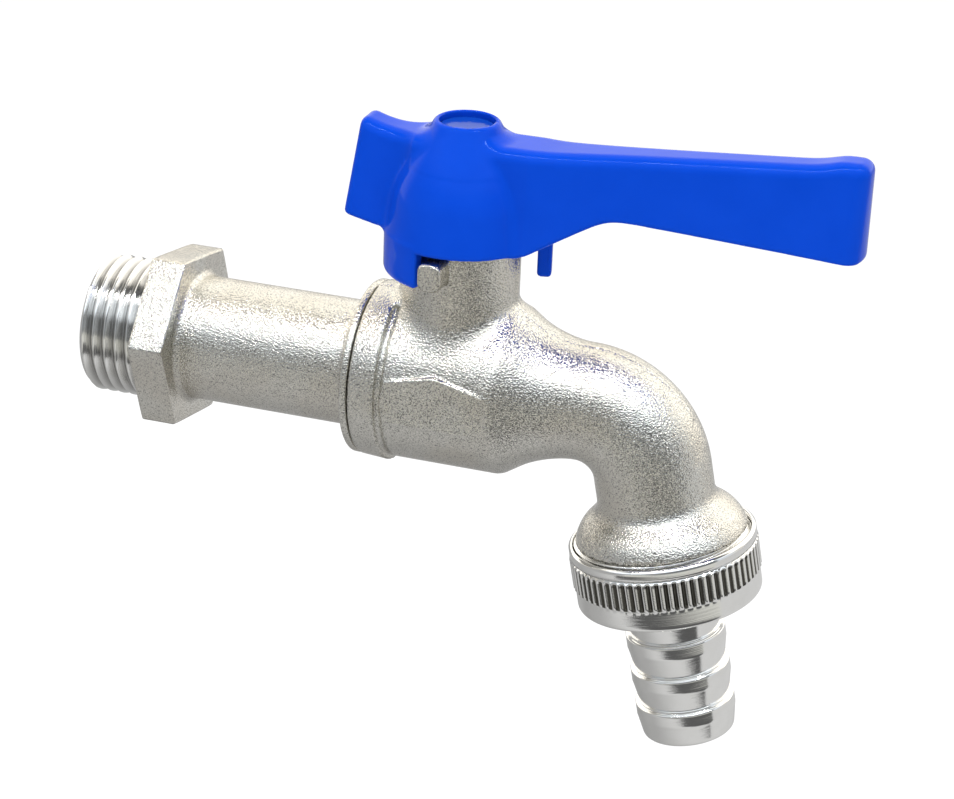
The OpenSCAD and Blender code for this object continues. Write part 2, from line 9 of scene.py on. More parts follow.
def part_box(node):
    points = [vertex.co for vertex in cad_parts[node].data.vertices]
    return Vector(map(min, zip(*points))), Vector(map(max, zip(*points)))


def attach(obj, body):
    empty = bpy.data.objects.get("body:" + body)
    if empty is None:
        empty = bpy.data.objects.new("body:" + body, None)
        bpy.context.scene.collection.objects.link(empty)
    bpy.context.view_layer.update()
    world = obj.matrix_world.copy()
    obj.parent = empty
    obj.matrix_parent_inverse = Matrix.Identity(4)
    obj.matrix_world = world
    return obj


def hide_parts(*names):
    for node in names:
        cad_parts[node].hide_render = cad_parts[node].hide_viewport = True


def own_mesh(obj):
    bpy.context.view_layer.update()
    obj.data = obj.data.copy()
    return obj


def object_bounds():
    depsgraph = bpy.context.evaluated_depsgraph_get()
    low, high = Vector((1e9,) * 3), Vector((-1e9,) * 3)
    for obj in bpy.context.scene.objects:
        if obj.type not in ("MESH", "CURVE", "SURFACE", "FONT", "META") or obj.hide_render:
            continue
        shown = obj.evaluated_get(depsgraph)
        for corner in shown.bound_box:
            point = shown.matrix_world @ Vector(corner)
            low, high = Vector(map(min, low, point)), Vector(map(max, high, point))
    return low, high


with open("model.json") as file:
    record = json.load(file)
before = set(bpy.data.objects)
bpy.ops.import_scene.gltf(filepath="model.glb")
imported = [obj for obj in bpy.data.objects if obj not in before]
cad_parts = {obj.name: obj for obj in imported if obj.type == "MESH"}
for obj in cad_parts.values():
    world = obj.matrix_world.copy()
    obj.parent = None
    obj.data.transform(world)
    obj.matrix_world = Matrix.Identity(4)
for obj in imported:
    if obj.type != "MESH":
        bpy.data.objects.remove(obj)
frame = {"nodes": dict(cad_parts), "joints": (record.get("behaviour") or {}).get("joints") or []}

cad_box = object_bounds()
joints = {joint["name"]: joint for joint in frame["joints"]}
mm = 0.001

# Camera
# It looks down at the tap from the front right, as the photograph does, from 0.4 m away and
# through a long lens. Its turn, rise and roll were solved from the tap's own circles.
camera_turn, camera_rise, camera_roll = np.radians([17.64, 23.85, 2.34])
camera_distance = 400 * mm
camera_shift = np.array([2.84, -2.97]) * mm
lens_pixels = 2709.05
photo_width = 954
sensor_width = 36
back = np.array([np.sin(camera_turn) * np.cos(camera_rise),
                 -np.cos(camera_turn) * np.cos(camera_rise), np.sin(camera_rise)])
right = np.array([np.cos(camera_turn), np.sin(camera_turn), 0])
above = np.cross(back, right)
tilted_right = np.cos(camera_roll) * right + np.sin(camera_roll) * above
tilted_above = np.cos(camera_roll) * above - np.sin(camera_roll) * right
stem_place = np.array(joints["lever_turn"]["pos_m"])
camera_place = (stem_place + camera_shift[0] * tilted_right + camera_shift[1] * tilted_above
                + camera_distance * back)
camera = bpy.data.objects.new("camera", bpy.data.cameras.new("camera"))
camera.data.lens = lens_pixels / photo_width * sensor_width
camera.data.sensor_width = sensor_width
camera.matrix_world = Matrix([[*row, place] for row, place in zip(
    np.stack([tilted_right, tilted_above, back], 1).tolist(), camera_place.tolist())] + [[0, 0, 0, 1]])
bpy.context.scene.collection.objects.link(camera)
bpy.context.scene.camera = camera
bpy.context.scene.view_settings.view_transform = "Standard"


# Studio
# A white tent: a pale floor below the tap, white all round but dimmer in front and dark in a slit
# overhead, two soft lamps above, and a dark glowing flag on the camera's side that only reflections see:
# the floor's painted shade and the flag's painted reflections show only in the metal and the lacquer.
class Wire:
    """A shader value that sums, differences and products can be written with."""

    def __init__(self, finish, socket):
        self.finish, self.socket = finish, socket

    def _math(self, operation, first, second):
        return self.finish.add("Math", {"operation": operation}, {0: first, 1: second})

    def __add__(self, other):
        return self._math("ADD", self, other)

    def __radd__(self, other):
        return self._math("ADD", other, self)

    def __sub__(self, other):
        return self._math("SUBTRACT", self, other)

    def __rsub__(self, other):
        return self._math("SUBTRACT", other, self)

    def __mul__(self, other):
        return self._math("MULTIPLY", self, other)

    def __rmul__(self, other):
        return self._math("MULTIPLY", other, self)

    def between(self, low, high):
        """0 below low, 1 above high, and a smooth rise from one to the other"""
        return self.finish.add("MapRange", {"interpolation_type": "SMOOTHSTEP"},
                               {"Value": self, "From Min": low, "From Max": high})


class Finish:
    """The node tree of a material or of the world, and one way to add any node to it."""

    def __init__(self, owner, constants=()):
        self.owner = owner
        owner.use_nodes = True
        self.tree = owner.node_tree
        self.surface = self.tree.nodes.get("Principled BSDF") or self.tree.nodes.get("Background")
        for name, value in dict(constants).items():
            self.surface.inputs[name].default_value = value

    def add(self, kind, settings, inputs, output=0):
        """A node of this kind with its settings and inputs, and the wire that leaves it"""
        node = self.tree.nodes.new("ShaderNode" + kind)
        for name, value in settings.items():
            setattr(node, name, value)
        for name, value in inputs.items():
            self.join(value, node.inputs[name])
        return Wire(self, node.outputs[output])

    def join(self, value, socket):
        """Puts a number, a colour or a wire into a socket"""
        if isinstance(value, Wire):
            self.tree.links.new(value.socket, socket)
        else:
            socket.default_value = value

    def feed(self, name, value):
        """Puts a number, a colour or a wire into the surface's own socket"""
        self.join(value, self.surface.inputs[name])

    def place(self):
        """The point's place on its object"""
        return self.add("TexCoord", {}, {}, "Object")

    def along(self, place, direction):
        """How far a place lies in a direction: the product of the two"""
        return self.add("VectorMath", {"operation": "DOT_PRODUCT"}, {0: place, 1: tuple(direction)}, 1)

    def distance(self, place, point):
        """How far a place lies from a point"""
        return self.add("VectorMath", {"operation": "DISTANCE"}, {0: place, 1: point}, 1)

    def ray(self, kind):
        """1 for light rays of this kind, and 0 for all others"""
        return self.add("LightPath", {}, {}, f"Is {kind} Ray")

    def seen(self):
        """1 for rays that the camera, a reflection or glass sees, and 0 for light on matt surfaces"""
        return self.ray("Camera") + self.ray("Glossy") + self.ray("Transmission")

    def noise(self, place, size, detail=2.0):
        """Noise whose lumps are about this size, from 0 to 1"""
        return self.add("TexNoise", {}, {"Vector": place, "Scale": 1 / size, "Detail": detail})

    def mix(self, share, first, second):
        """A colour between two others"""
        return self.add("Mix", {"data_type": "RGBA"}, {0: share, 6: first, 7: second}, 2)

    def bump(self, height, depth):
        """A normal that leans with the height, which runs from 0 to 1 over this depth"""
        return self.add("Bump", {}, {"Height": height, "Distance": depth})


white, warm_white, cool_white = (1, 1, 1, 1), (1, 0.965, 0.90, 1), (0.92, 0.985, 1.06, 1)
tent_light = 0.64
tent_low, tent_high, tent_side = 0.44, 1.42, 0.34
slit_dark, slit_forward = 0.92, 0.08
world = bpy.data.worlds.new("tent")
bpy.context.scene.world = world
tent = Finish(world)
tent_direction = tent.add("TexCoord", {}, {}, "Generated")
upward = tent.along(tent_direction, (0, 0, 1))
sideways = tent.along(tent_direction, right)
forward = tent.along(tent_direction, (right[1], -right[0], 0))
mirrored = tent.ray("Glossy")
tent_dim = (1 - upward.between(0.42, 0.62)) * forward.between(-0.45, -0.15)
from_slit = forward - slit_forward
tent_slit = slit_dark * (1 - (from_slit * from_slit).between(0.02, 0.10)) * upward.between(0.6, 0.85)
tent_bright = tent_high + tent_side * sideways.between(0.2, 0.8) - (tent_high - tent_low) * tent_dim
tent_shown = tent_bright * (1 - tent_slit)
tent.feed("Strength", tent_light + (1 - tent_light) * tent.seen() + (tent_shown - 1) * mirrored)
tent.feed("Color", tent.mix(mirrored, white, tent.mix(forward.between(-0.2, 0.3), warm_white, cool_white)))

floor_drop, floor_half = 34 * mm, 4.0
floor_glow, floor_glow_share = 1.08, 0.8
shade_shine, floor_shine = 0.24, 0.52
floor_z = cad_box[0].z - floor_drop
shade_middle = (0.02, 0.03, floor_z)
corners = [(x * floor_half, y * floor_half, floor_z) for x, y in ((-1, -1), (1, -1), (1, 1), (-1, 1))]
floor_mesh = bpy.data.meshes.new("floor")
floor_mesh.from_pydata(corners, [], [(0, 1, 2, 3)])
floor = bpy.data.objects.new("floor", floor_mesh)
bpy.context.scene.collection.objects.link(floor)
paper = Finish(bpy.data.materials.new("paper"), {"Base Color": (0.9, 0.9, 0.9, 1), "Roughness": 0.9})
# Painted shade: what reflections see of the floor is a glow that is dimmed round a spot under the tap's body
# and towards the left.
from_shade = paper.distance(paper.place(), shade_middle).between(0.05, 0.12)
from_left_shade = paper.along(paper.place(), (1, 0, 0)).between(-0.06, 0.01)
mirrored_floor = shade_shine + (floor_shine - shade_shine) * from_shade * from_left_shade
glow = paper.add("Emission", {}, {
    "Color": white, "Strength": floor_glow + (mirrored_floor - floor_glow) * paper.ray("Glossy")})
shown = paper.add("MixShader", {}, {0: paper.seen() * floor_glow_share, 2: glow})
paper.tree.links.new(paper.surface.outputs[0], shown.socket.node.inputs[1])
paper.tree.links.new(shown.socket, paper.tree.nodes["Material Output"].inputs["Surface"])
floor_mesh.materials.append(paper.owner)


def lamp(name, turn, rise, distance, length, width, power):
    """A long soft lamp that faces the tap, at a turn and a rise, with its length level"""
    light = bpy.data.lights.new(name, "AREA")
    light.shape, light.size, light.size_y, light.energy = "RECTANGLE", length, width, power
    turn, rise = camera_turn + np.radians(turn), np.radians(rise)
    away = Vector((np.sin(turn) * np.cos(rise), -np.cos(turn) * np.cos(rise), np.sin(rise)))
    level = Vector((np.cos(turn), np.sin(turn), 0))
    facing = Matrix([list(level), list(away.cross(level)), list(away)]).transposed().to_4x4()
    lamp_object = bpy.data.objects.new(name, light)
    lamp_object.matrix_world = Matrix.Translation(Vector(stem_place) + distance * away) @ facing
    bpy.context.scene.collection.objects.link(lamp_object)
    return lamp_object


lamp("strip", turn=-2, rise=71, distance=0.70, length=1.0, width=0.03, power=3.2)
overhead = lamp("overhead", turn=0, rise=88, distance=0.70, length=0.5, width=0.5, power=1.8)
overhead.visible_glossy = False


def make_piece(name, points, faces, material):
    """A smooth mesh object from points in metres and rows of four corners"""
    mesh = bpy.data.meshes.new(name)
    mesh.vertices.add(len(points))
    mesh.vertices.foreach_set("co", np.ascontiguousarray(points, np.float32).ravel())
    mesh.loops.add(faces.size)
    mesh.loops.foreach_set("vertex_index", np.ascontiguousarray(faces, np.int32).ravel())
    mesh.polygons.add(len(faces))
    mesh.polygons.foreach_set("loop_start", np.arange(0, faces.size, 4, dtype=np.int32))
    mesh.update(calc_edges=True)
    mesh.validate()
    mesh.shade_smooth()
    mesh.materials.append(material)
    piece = bpy.data.objects.new(name, mesh)
    bpy.context.scene.collection.objects.link(piece)
    return piece


def grid_faces(rows, columns, closed_rows, closed_columns):
    """The faces of a grid of points, whose last row or column may join its first"""
    row = np.arange(rows if closed_rows else rows - 1)[:, None]
    column = np.arange(columns if closed_columns else columns - 1)[None, :]
    after, beside = (row + 1) % rows, (column + 1) % columns
    ring = (row * columns + column, row * columns + beside,
            after * columns + beside, after * columns + column)
    return np.stack(np.broadcast_arrays(*ring), -1).reshape(-1, 4)


flag_distance, flag_lift = 0.55, 3 * mm
flag_from, flag_to, flag_low, flag_high = np.radians([-44, 62, -41, 27])
flag_columns, flag_rows = 13, 30
flag_turn, flag_rise = np.meshgrid(camera_turn + np.linspace(flag_from, flag_to, flag_columns),
                                   np.linspace(flag_low, flag_high, flag_rows), indexing="ij")
to_floor = (stem_place[2] - floor_z - flag_lift) / np.maximum(-np.sin(flag_rise), 0.01)
flag_away = np.where(flag_rise < 0, np.minimum(flag_distance, to_floor), flag_distance)
flag_points = stem_place + flag_away[..., None] * np.stack(
    [np.sin(flag_turn) * np.cos(flag_rise), -np.cos(flag_turn) * np.cos(flag_rise), np.sin(flag_rise)], -1)
# Painted reflections: the flag glows and only reflections see it. It is near black within about 0.15 m of a
# point on the floor under the outlet (painted shade), floor-grey where it lies on the floor, and grey
# elsewhere, darker to the right.
flag_painted_shade, flag_floor = (0.05, 0.05, 0.05, 1), (0.60, 0.60, 0.56, 1)
flag_left, flag_right = (0.30, 0.31, 0.31, 1), (0.16, 0.17, 0.18, 1)
black = Finish(bpy.data.materials.new("painted_reflection_flag"), {
    "Base Color": (0.01, 0.01, 0.01, 1), "Roughness": 0.8, "Emission Strength": 1.0})
from_outlet = black.distance(black.place(), (0.105, -0.01, floor_z)).between(0.14, 0.19)
above_floor = black.along(black.place(), (0, 0, 1)).between(floor_z + 0.02, floor_z + 0.06)
rightward = black.along(black.place(), right).between(-0.24, -0.12)
flag_shown = black.mix(above_floor, flag_floor, black.mix(rightward, flag_left, flag_right))
black.feed("Emission Color", black.mix(from_outlet, flag_painted_shade, flag_shown))
flag = make_piece("flag", flag_points.reshape(-1, 3), grid_faces(flag_columns, flag_rows, False, False),
                  black.owner)
flag.visible_camera = flag.visible_shadow = flag.visible_diffuse = False


# Inlet tail
# One brass casting, shot-blasted and nickel-plated: the thread that screws into the wall fitting,
# the spanner hexagon, the long tube and the flange that meets the body. Its thread is cut bright.
tail_low, tail_high = (np.array(corner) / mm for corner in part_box("inlet_tail"))
body_low, body_high = (np.array(corner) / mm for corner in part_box("body"))
tail_start, joint_x = tail_low[0], body_low[0]
thread_pitch, thread_crest, thread_depth, thread_flat = 25.4 / 14, 10.4775, 0.8, 0.12
thread_bevel, mouth_rim, runout_start, runout_end, runout_step = 0.5, 0.7, -1.2, -0.3, 0.3
hexagon_flats, hexagon_end, hexagon_turn, hexagon_edge, hexagon_blunt = 25.0, 5.5, 50.0, 0.4, 0.12
tube_radius, tube_fillet, fillet_rim = 9.4, 1.0, 0.3
flange_radius, flange_thickness, flange_fillet, flange_edge, flange_rim = 13.05, 1.2, 1.7, 0.45, 0.3
inlet_bore, carrier_bore, carrier_shoulder, joint_radius = 6.2, 7.75, 7.2, 10.4
seam, plain_spacing, thread_spacing, tail_columns = 0.09, 0.6, 0.085, 288
thread_dullness_and_shade = 0.34


def hexagon(angle):
    """Radius of a hexagon with softened corners: its flats' distance over the cosine of the angle
    from the nearest flat's middle, drawn in near the corners"""
    flat = hexagon_flats / 2
    away = np.remainder(angle - np.radians(hexagon_turn), np.pi / 3) - np.pi / 6
    sharp = flat / np.cos(away)
    corner = flat / np.cos(np.pi / 6)
    return sharp - hexagon_blunt * np.clip((sharp - flat) / (corner - flat), 0, 1) ** 3


def round_corner(centre, radius, first, last, shares=(), steps=6):
    """Points of an arc, from one angle in degrees to another, each followed by the same shares"""
    angle = np.radians(np.linspace(first, last, steps + 1))
    return [(centre[0] + radius * np.cos(a), centre[1] + radius * np.sin(a), *shares) for a in angle]


def even_points(corners, spacing):
    """Points along a line of corners, with every stretch cut into equal steps of about this spacing"""
    corners = np.array(corners, float)
    parts = [np.linspace(a, b, max(1, int(np.ceil(np.linalg.norm((b - a)[:2]) / spacing))), endpoint=False)
             for a, b in zip(corners[:-1], corners[1:])]
    return np.concatenate(parts + [corners[-1:]])


def turned_piece(name, along, radius, angle, origin, axis, side, material):
    """A closed turned piece. Each point is the origin, plus its distance along the axis, plus its radius
    times the cosine of its angle towards the side and the sine of it across both"""
    along, radius, angle = np.broadcast_arrays(along, radius, angle)
    axis, side = np.array(axis, float), np.array(side, float)
    across = np.cross(axis, side)
    points = (np.array(origin) + along[..., None] * axis
              + radius[..., None] * (np.cos(angle)[..., None] * side + np.sin(angle)[..., None] * across))
    return make_piece(name, points.reshape(-1, 3) * mm, grid_faces(*angle.shape, True, True), material)


def thread_groove(along, angle):
    """How deep a right-hand thread is cut, from 0 on its crest to 1 in its root: a V with flat ends
    that moves on by one pitch in each turn"""
    share = np.remainder(along / thread_pitch - angle / (2 * np.pi), 1)
    return np.clip((1 + 2 * thread_flat) * np.abs(2 * share - 1) - thread_flat, 0, 1)


def set_groove(piece, depth):
    """Tells the piece's finish how far each point lies in a groove, where the finish paints shade and dulls
    """
    piece.data.attributes.new("groove", "FLOAT", "POINT").data.foreach_set(
        "value", depth.astype(np.float32).ravel())


def cast_nickel():
    """Satin nickel over a shot-blasted casting: a grain of fine dents, and tints that drift"""
    finish = Finish(bpy.data.materials.new("cast_nickel"), {"Metallic": 1.0})
    place = finish.place()
    grain = finish.noise(place, 0.2 * mm, 0.0)
    dents = finish.add("TexVoronoi", {}, {"Vector": place, "Scale": 1 / (0.27 * mm)})
    tint = finish.noise(place, 9 * mm).between(0.35, 0.65)
    clean = finish.mix(tint, (0.74, 0.71, 0.64, 1), (0.78, 0.765, 0.71, 1))
    pit = finish.noise(place, 0.17 * mm, 0.0).between(0.28, 0.42)
    finish.feed("Base Color", finish.mix(pit, (0.36, 0.35, 0.33, 1), clean))
    finish.feed("Roughness", 0.10 + 0.10 * finish.noise(place, 1.2 * mm))
    finish.feed("Normal", finish.bump(grain + dents, 0.055 * mm))
    return finish.owner


def bright_nickel(name, axis, line_depth, tone):
    """Turned and polished nickel: fine lines run round the axis that the piece was turned on, and the
    attribute called groove tells how far a point lies in the groove of a thread or knurl, which is
    darkened with painted shade and made rougher there"""
    finish = Finish(bpy.data.materials.new(name), {"Metallic": 1.0})
    place = finish.place()
    line = finish.add("TexNoise", {"noise_dimensions": "1D"}, {
        "W": finish.along(place, axis), "Scale": 1 / (0.12 * mm), "Detail": 2.0})
    cloud = finish.noise(place, 1.6 * mm, 3.0)
    clean = finish.mix(cloud, (0.93 * tone, 0.925 * tone, 0.90 * tone, 1),
                       (1.02 * tone, 1.015 * tone, tone, 1))
    groove = finish.add("Attribute", {"attribute_name": "groove"}, {}, "Fac").between(0.12, 0.5)
    # Painted shade: the base colour turns near black in the grooves
    finish.feed("Base Color", finish.mix(groove, clean, (0.13, 0.125, 0.11, 1)))
    finish.feed("Roughness", 0.07 + 0.08 * cloud + 0.15 * groove)
    finish.feed("Normal", finish.bump(line, line_depth * mm))
    return finish.owner


# Each point is (distance, radius, share of the hexagon, share of the thread). Where the hexagon has a
# share, the radius is counted from the hexagon's own.
flange_x = joint_x - seam - flange_thickness
mouth_rows = even_points([(carrier_shoulder, carrier_bore, 0, 0), (carrier_shoulder, inlet_bore, 0, 0),
                          (tail_start, inlet_bore, 0, 0), (tail_start, thread_crest - mouth_rim, 0, 0)],
                         plain_spacing)
thread_rows = even_points([(tail_start + 0.05, thread_crest - thread_bevel, 0, 0.3),
                           (tail_start + thread_bevel, thread_crest, 0, 1),
                           (runout_start, thread_crest, 0, 1), (runout_end, thread_crest, 0, 0.3),
                           (-0.05, thread_crest - runout_step, 0, 0)], thread_spacing)
casting_rows = even_points(
    round_corner((hexagon_edge, -hexagon_edge), hexagon_edge, 180, 90, (1, 0))
    + round_corner((hexagon_end - hexagon_edge, -hexagon_edge), hexagon_edge, 90, 0, (1, 0))
    + [(hexagon_end, tube_radius + tube_fillet + fillet_rim, 0, 0)]
    + round_corner((hexagon_end + tube_fillet, tube_radius + tube_fillet), tube_fillet, 180, 270, (0, 0))
    + round_corner((flange_x - flange_fillet, tube_radius + flange_fillet), flange_fillet, 270, 360, (0, 0))
    + round_corner((flange_x + flange_edge, flange_radius - flange_edge), flange_edge, 180, 90, (0, 0))
    + round_corner((joint_x - seam - flange_rim, flange_radius - flange_rim), flange_rim, 90, 0, (0, 0), 3)
    + [(joint_x - seam, joint_radius, 0, 0), (tail_high[0], joint_radius, 0, 0),
       (tail_high[0], carrier_bore, 0, 0), (carrier_shoulder + 0.6, carrier_bore, 0, 0)], plain_spacing)
tail_rows = np.concatenate([mouth_rows, thread_rows, casting_rows])
tail_angle = np.linspace(0, 2 * np.pi, tail_columns, endpoint=False)[None, :]
tail_along, tail_radius, hexagon_share, thread_share = (tail_rows[:, [i]] for i in range(4))
tail_groove = thread_groove(tail_along, tail_angle)
tail_skin = tail_radius + hexagon_share * hexagon(tail_angle) - thread_share * thread_depth * tail_groove
casting = cast_nickel()
cut_bright = bright_nickel("cut_thread", (1, 0, 0), 0.02, 0.95)
inlet_tail = turned_piece("inlet_tail_casting", tail_along, tail_skin, tail_angle,
                          (0, 0, 0), (1, 0, 0), (0, 1, 0), casting)
inlet_tail.data.materials.append(cut_bright)
cut_faces = (len(mouth_rows) + len(thread_rows)) * tail_columns
inlet_tail.data.polygons.foreach_set("material_index", np.repeat(
    [1, 0], [cut_faces, len(inlet_tail.data.polygons) - cut_faces]).astype(np.int32))
# The thread's grooves get painted shade and a rougher finish
set_groove(inlet_tail, thread_dullness_and_shade * thread_share * tail_groove ** 0.5)
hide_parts("inlet_tail")
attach(inlet_tail, "valve_body")


# Body
# The other brass casting, with the same blasted nickel: the collar, the round ball chamber with a flat
# pad in front, the neck with its stop lug, and the spout that bends down to the bell over the outlet.
def join(first, second, radius):
    """Both solids, with a fillet of this radius in the corner between them: the smaller distance, less
    what the two lie together inside the radius"""
    return (np.maximum(radius, np.minimum(first, second))
            - np.hypot(np.maximum(radius - first, 0), np.maximum(radius - second, 0)))


def meet(first, second, radius):
    """What both solids share, with its edge rounded to this radius"""
    return -join(-first, -second, radius)


stem_x = joints["lever_turn"]["pos_m"][0] / mm
outlet = np.array(joints["nut_turn"]["pos_m"]) / mm
water = np.array(joints["nut_turn"]["axis"])
outlet_side = np.array([-water[2], 0, water[0]])
lean = np.arcsin(water[0])
bend_radius, spout_drop, spout_radius = 11.0, 10.0, 8.7
bend_x = outlet[0] - spout_drop * np.sin(lean) - bend_radius * np.cos(lean)
collar_radius, collar_draft, collar_end, collar_edge = 13.1, 0.07, joint_x + 4.5, 0.3
cove_radius, cove_x, cove_lift = 0.6, collar_end + 0.25, 0.3
chamber_radius, chamber_flat, chamber_start, chamber_end = 12.7, 12.45, joint_x + 1, stem_x + 8.8
bevel_slope, chamber_edge, pad_end_edge, pad_edge = 0.64, 0.4, 0.15, 0.12
pad_start, pad_end, pad_peak, pad_ridge, pad_rise, pad_fall = -9, 8.2, 5.1, 0.4, 0.23, 0.25
pad_foot, pad_root, foot_turn, foot_slope = -3.2, -9, 5.4, 0.62
neck_radius, neck_foot, neck_top, neck_edge = 8.55, 4, body_high[2], 0.3
lug_angle = np.radians(265)
lug_reach, lug_half, lug_low, lug_high, lug_side_edge, lug_face_edge = 12.2, 1.75, 17.95, 22.1, 1.2, 0.4
bell_radius, bell_rim, bell_slope, bell_height, bell_edge, mouth_edge = 12.95, 1.5, 1.2, 9, 2.0, 0.25
parting_ridge, parting_half = 0.22, 0.5
collar_fillet, pad_fillet, spout_fillet, neck_fillet, lug_fillet, bell_fillet = 0.3, 0.1, 2.4, 2.0, 0.25, 1.0
joint_bore, joint_depth, ball_bore, ball_reach, seat_bore, seat_reach = 10.45, 7.2, 8.8, 4.8, 6.95, 7.9
stem_bore, packing_bore, packing_top, spout_bore = 4.05, 5.75, 12.5, 5.5


def from_mouth(x, y, z):
    """How far below the outlet's mouth a point lies, and how far from the outlet's axis"""
    deep = (x - outlet[0]) * water[0] + (z - outlet[2]) * water[2]
    aside = (x - outlet[0]) * outlet_side[0] + (z - outlet[2]) * outlet_side[2]
    return deep, np.hypot(aside, y)


def spout_tube(x, y, z, radius):
    """Distance to a tube that runs straight along the pipe, round the bend and straight to the outlet"""
    bend = np.hypot(np.hypot(x - bend_x, z + bend_radius) - bend_radius, y)
    deep, drop = from_mouth(x, y, z)
    return np.where(x < bend_x, np.hypot(y, z), np.where(deep < -spout_drop, bend, drop)) - radius


def chamber_form(x, y, z):
    """Distance to the collar, the chamber with its bevelled end and flat front, and the roofed pad on
    that front, less the cove that is turned behind the collar"""
    across, beside = np.hypot(y, z), x - stem_x
    collar_ends = np.abs(x - (joint_x + seam + collar_end) / 2) - (collar_end - joint_x - seam) / 2
    collar = meet(across - collar_radius - collar_draft * (x - joint_x), collar_ends, collar_edge)
    bevel = (across - chamber_radius + (x - chamber_end) * bevel_slope) / np.hypot(1, bevel_slope)
    chamber = meet(across - chamber_radius, bevel, chamber_edge)
    chamber = meet(chamber, np.minimum(-chamber_flat - y, pad_end - beside), pad_end_edge)
    chamber = np.maximum(chamber, chamber_start - x)
    ridge = beside - pad_ridge
    roof = np.maximum(z - pad_peak - pad_rise * ridge, z - pad_peak + pad_fall * ridge)
    foot = foot_slope * (beside - foot_turn) * (beside > foot_turn) + pad_foot - z
    side = np.maximum(np.maximum(pad_start - beside, beside - pad_end), foot)
    pad = meet(np.maximum(roof, side), np.maximum(-y - chamber_flat, y - pad_root), pad_edge)
    cove = np.hypot(x - cove_x, across - chamber_radius - cove_lift) - cove_radius
    return np.maximum(join(join(collar, chamber, collar_fillet), pad, pad_fillet), -cove)


def lug_form(x, y, z):
    """Distance to the stop lug: a block with rounded sides that stands out from the neck"""
    beside = x - stem_x
    reach = beside * np.cos(lug_angle) + y * np.sin(lug_angle)
    side = np.abs(beside * np.sin(lug_angle) - y * np.cos(lug_angle)) - lug_half
    tall = np.abs(z - (lug_low + lug_high) / 2) - (lug_high - lug_low) / 2
    face = np.maximum(reach - lug_reach, -reach)
    return meet(meet(side, tall, lug_side_edge), face, lug_face_edge)


def bores_form(x, y, z):
    """Distance to the hollows: the joint's thread, the ball's and the seat's bores, the waterway, and
    the stem's bore with the wider one for its washer and flange"""
    across, beside = np.hypot(y, z), x - stem_x
    round_stem = np.hypot(beside, y)
    return reduce(np.minimum, [
        np.maximum(across - joint_bore, x - joint_x - joint_depth),
        np.maximum(across - ball_bore, beside - ball_reach),
        np.maximum(across - seat_bore, beside - seat_reach),
        np.maximum(spout_tube(x, y, z, spout_bore), -beside),
        np.maximum(round_stem - stem_bore, -z),
        np.maximum(np.maximum(round_stem - packing_bore, -z), z - packing_top)])


def body_form(x, y, z):
    """Distance to the body's skin, below zero inside: fillets join the chamber, the spout, the neck, the
    lug and the bell, the parting line's ridge stands on top, and the bores are taken out"""
    deep, ring = from_mouth(x, y, z)
    spout = np.maximum(np.maximum(spout_tube(x, y, z, spout_radius), deep), stem_x - x)
    neck = np.maximum(np.hypot(x - stem_x, y) - neck_radius, neck_foot - z)
    slope = (ring - bell_radius - (deep + bell_rim) * bell_slope) / np.hypot(1, bell_slope)
    bell = meet(meet(ring - bell_radius, slope, bell_edge), deep, mouth_edge)
    form = join(chamber_form(x, y, z), spout, spout_fillet)
    form = join(form, meet(neck, z - neck_top, neck_edge), neck_fillet)
    form = join(form, lug_form(x, y, z), lug_fillet)
    form = join(form, np.maximum(bell, -deep - bell_height), bell_fillet)
    form = form - parting_ridge * np.exp(-(y / parting_half) ** 4) * (z > 0)
    return np.maximum(form, -bores_form(x, y, z))


def skin(form, low, high, step):
    """The surface where a form is zero. A cell of the grid that the surface crosses gets a point, at the
    middle of the crossings of its edges, then moved down the form's slope onto the surface, and
    the four cells round each crossed grid line share a face"""
    axes = [np.arange(a - 2 * step, b + 3 * step, step) for a, b in zip(low, high)]
    value = form(*np.meshgrid(*axes, indexing="ij", sparse=True))
    inside = value < 0
    corner = np.array([(a, b, c) for a in (0, 1) for b in (0, 1) for c in (0, 1)])
    shape = np.array(inside.shape) - 1
    count = sum(inside[a:a + shape[0], b:b + shape[1], c:c + shape[2]].astype(np.int8) for a, b, c in corner)
    cell = np.argwhere((count > 0) & (count < 8))
    at_corner = value[tuple(np.moveaxis(cell[:, None] + corner, 2, 0))]
    total, hits = np.zeros((len(cell), 3)), np.zeros((len(cell), 1))
    for i, j in [(i, j) for i in range(8) for j in range(i + 1, 8) if abs(corner[i] - corner[j]).sum() == 1]:
        a, b = at_corner[:, [i]], at_corner[:, [j]]
        crossed = (a < 0) != (b < 0)
        share = np.where(crossed, a / np.where(crossed, a - b, 1), 0)
        total += crossed * (corner[i] + share * (corner[j] - corner[i]))
        hits += crossed
    points = np.array([axis[0] for axis in axes]) + step * (cell + total / hits)
    nudge, furthest, least_slope = 0.02 * step, 0.4 * step, 0.25
    for _ in range(3):
        slope = np.stack([(form(*(points + e).T) - form(*(points - e).T)) / (2 * nudge)
                          for e in nudge * np.eye(3)], 1)
        move = form(*points.T) / np.maximum((slope ** 2).sum(1), least_slope)
        points -= np.clip(move, -furthest, furthest)[:, None] * slope
    number = np.full(shape, -1)
    number[tuple(cell.T)] = np.arange(len(cell))
    faces = []
    for axis in range(3):
        first = np.take(inside, range(inside.shape[axis] - 1), axis)
        line = np.argwhere(first != np.take(inside, range(1, inside.shape[axis]), axis))
        u, v = np.eye(3, dtype=int)[(axis + 1) % 3], np.eye(3, dtype=int)[(axis + 2) % 3]
        ring = np.stack([number[tuple((line - u * a - v * b).T)]
                         for a, b in ((1, 1), (0, 1), (0, 0), (1, 0))], 1)
        outward = first[tuple(line.T)]
        faces.append(np.where(outward[:, None], ring, ring[:, ::-1]))
    return points, np.concatenate(faces)


